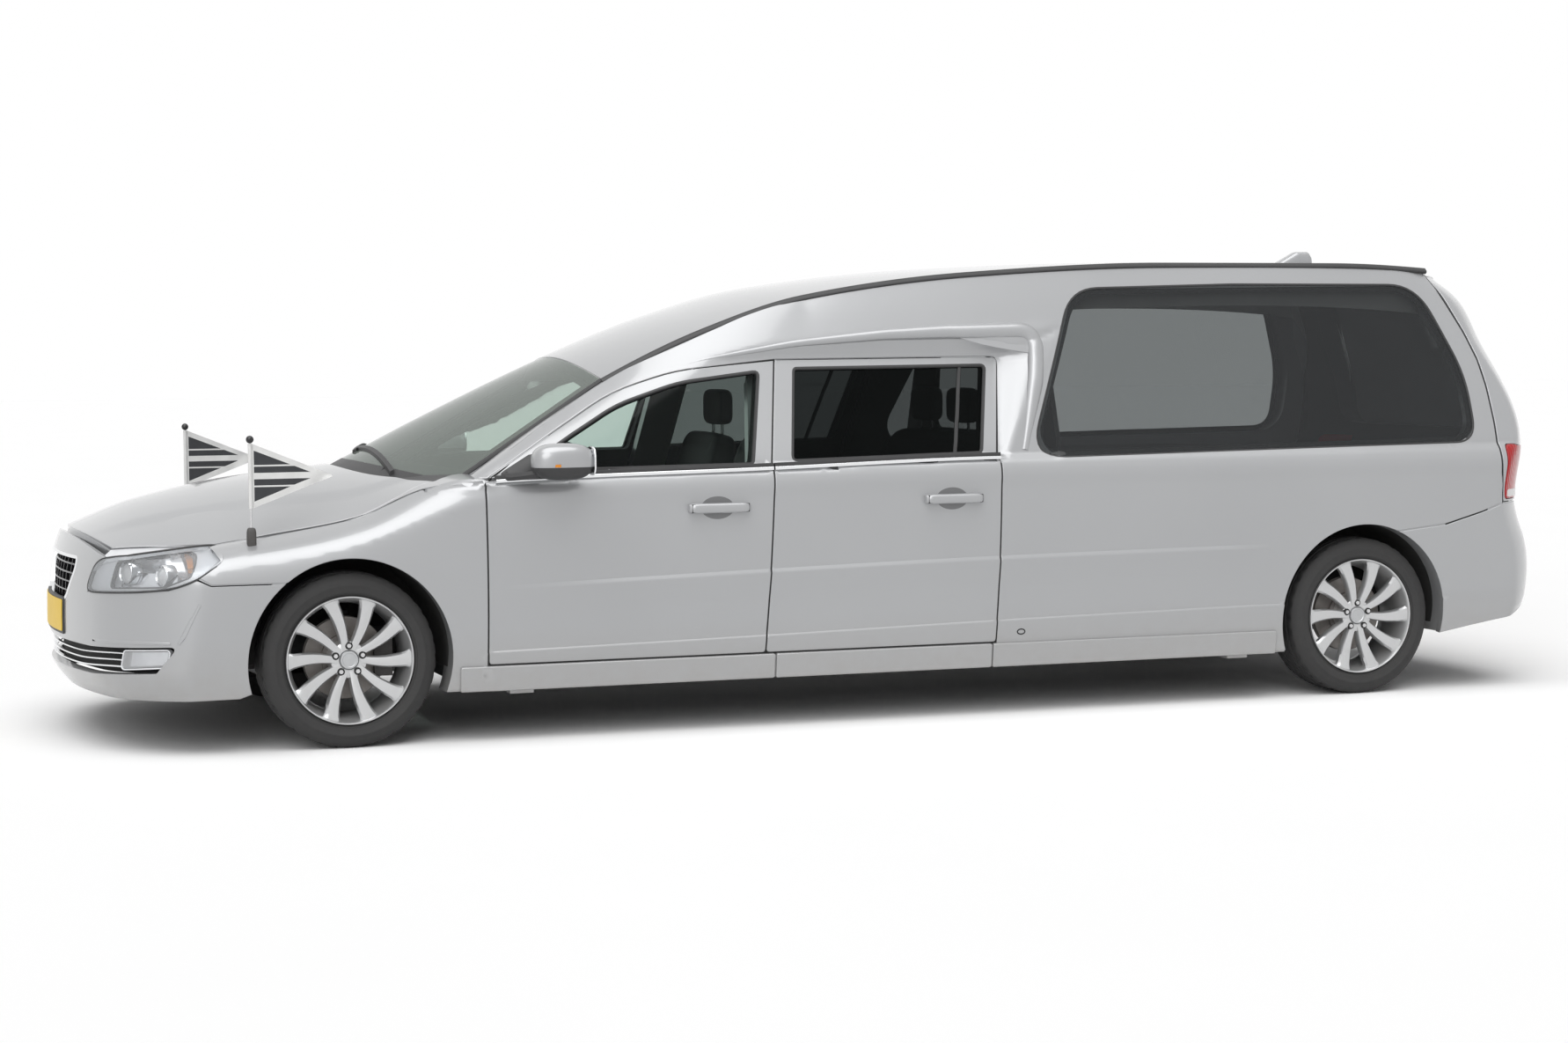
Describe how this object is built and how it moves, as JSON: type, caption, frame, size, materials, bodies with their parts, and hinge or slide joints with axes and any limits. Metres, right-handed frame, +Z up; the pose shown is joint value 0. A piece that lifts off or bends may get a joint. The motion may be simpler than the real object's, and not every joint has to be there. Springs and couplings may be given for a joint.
{
  "type": "funeral limousine",
  "caption": "Stretched estate-car hearse with a raised glazed coffin space, opening doors, bonnet and tailgate, steered front wheels and fender pennants.",
  "frame": {"origin": "on the ground, midway between nose and tail on the centre line", "axes": "+X forward along the car, +Y to its left, +Z up"},
  "size_m": [6.1055, 2.17, 1.827],
  "materials": {
    "body_paint": "silver metallic clear coat",
    "clear_glass": "clear greenish",
    "tinted_glass": "dark tint",
    "lamp_clear": "clear lens",
    "lamp_red": "red lens",
    "black_plastic": "grained black",
    "trim_plastic": "soft dark grey",
    "seat_leather": "dark grey",
    "floor_steel": "underseal and carpet",
    "deck_aluminium": "brushed",
    "engine_iron": "dark casting",
    "exhaust_steel": "dull steel",
    "alloy": "silver lacquer",
    "tyre_rubber": "black rubber",
    "staff_steel": "polished",
    "pennant_cloth": "dark cloth with pale border"
  },
  "bodies": {
    "body": {"body_side_left": "body_paint", "body_side_right": "body_paint", "roof_panel": "body_paint", "front_fenders": "body_paint", "front_bumper": "body_paint", "rear_bumper": "body_paint", "side_skirts": "body_paint", "windscreen": "clear_glass", "quarter_glass": "tinted_glass", "front_lamps": "lamp_clear", "grilles": "black_plastic", "cowl": "black_plastic", "wheel_liners": "black_plastic", "dashboard": "trim_plastic", "steering_wheel": "trim_plastic", "partition": "trim_plastic", "front_seats": "seat_leather", "rear_bench": "seat_leather", "floor_pan": "floor_steel", "coffin_deck": "deck_aluminium", "engine_block": "engine_iron", "front_subframe": "engine_iron", "rear_axle": "engine_iron", "exhaust": "exhaust_steel", "flag_staffs": "staff_steel", "pennants": "pennant_cloth"},
    "bonnet": {"bonnet": "body_paint"},
    "door_front_left": {"door_front_left": "body_paint", "glass_front_left": "clear_glass", "mirror_left": "body_paint"},
    "door_front_right": {"door_front_right": "body_paint", "glass_front_right": "clear_glass", "mirror_right": "body_paint"},
    "door_rear_left": {"door_rear_left": "body_paint", "glass_rear_left": "tinted_glass"},
    "door_rear_right": {"door_rear_right": "body_paint", "glass_rear_right": "tinted_glass"},
    "tailgate": {"tailgate": "body_paint", "tailgate_glass": "tinted_glass", "tail_lamps": "lamp_red"},
    "steer_left": {"knuckle_left": "engine_iron"},
    "steer_right": {"knuckle_right": "engine_iron"},
    "wheel_front_left": {"wheel_front_left": "alloy", "tyre_front_left": "tyre_rubber"},
    "wheel_front_right": {"wheel_front_right": "alloy", "tyre_front_right": "tyre_rubber"},
    "wheel_rear_left": {"wheel_rear_left": "alloy", "tyre_rear_left": "tyre_rubber"},
    "wheel_rear_right": {"wheel_rear_right": "alloy", "tyre_rear_right": "tyre_rubber"}
  },
  "joints": [
    {"name": "bonnet_hinge", "type": "hinge", "parent": "body", "child": "bonnet", "pos_m": [1.737, 0, 1.002], "axis": [0, -1, 0], "range_deg": [0, 55]},
    {"name": "door_front_left_hinge", "type": "hinge", "parent": "body", "child": "door_front_left", "pos_m": [1.582, 0.938, 0.6], "axis": [0, 0, -1], "range_deg": [0, 65]},
    {"name": "door_front_right_hinge", "type": "hinge", "parent": "body", "child": "door_front_right", "pos_m": [1.582, -0.938, 0.6], "axis": [0, 0, 1], "range_deg": [0, 65]},
    {"name": "door_rear_left_hinge", "type": "hinge", "parent": "body", "child": "door_rear_left", "pos_m": [0.506, 0.938, 0.6], "axis": [0, 0, -1], "range_deg": [0, 65]},
    {"name": "door_rear_right_hinge", "type": "hinge", "parent": "body", "child": "door_rear_right", "pos_m": [0.506, -0.938, 0.6], "axis": [0, 0, 1], "range_deg": [0, 65]},
    {"name": "tailgate_hinge", "type": "hinge", "parent": "body", "child": "tailgate", "pos_m": [-2.531, 0, 1.772], "axis": [0, 1, 0], "range_deg": [0, 80]},
    {"name": "steer_left_pivot", "type": "hinge", "parent": "body", "child": "steer_left", "pos_m": [2.09, 0.729, 0.32], "axis": [0, 0, 1], "range_deg": [-32, 32]},
    {"name": "steer_right_pivot", "type": "hinge", "parent": "body", "child": "steer_right", "pos_m": [2.09, -0.729, 0.32], "axis": [0, 0, 1], "range_deg": [-32, 32]},
    {"name": "wheel_front_left_spin", "type": "hinge", "parent": "steer_left", "child": "wheel_front_left", "pos_m": [2.09, 0.789, 0.32], "axis": [0, 1, 0], "continuous": true},
    {"name": "wheel_front_right_spin", "type": "hinge", "parent": "steer_right", "child": "wheel_front_right", "pos_m": [2.09, -0.789, 0.32], "axis": [0, 1, 0], "continuous": true},
    {"name": "wheel_rear_left_spin", "type": "hinge", "parent": "body", "child": "wheel_rear_left", "pos_m": [-2.084, 0.789, 0.32], "axis": [0, 1, 0], "continuous": true},
    {"name": "wheel_rear_right_spin", "type": "hinge", "parent": "body", "child": "wheel_rear_right", "pos_m": [-2.084, -0.789, 0.32], "axis": [0, 1, 0], "continuous": true}
  ],
  "couplings": [
    {"joint": "steer_right_pivot", "follows": "steer_left_pivot", "ratio": 1}
  ]
}
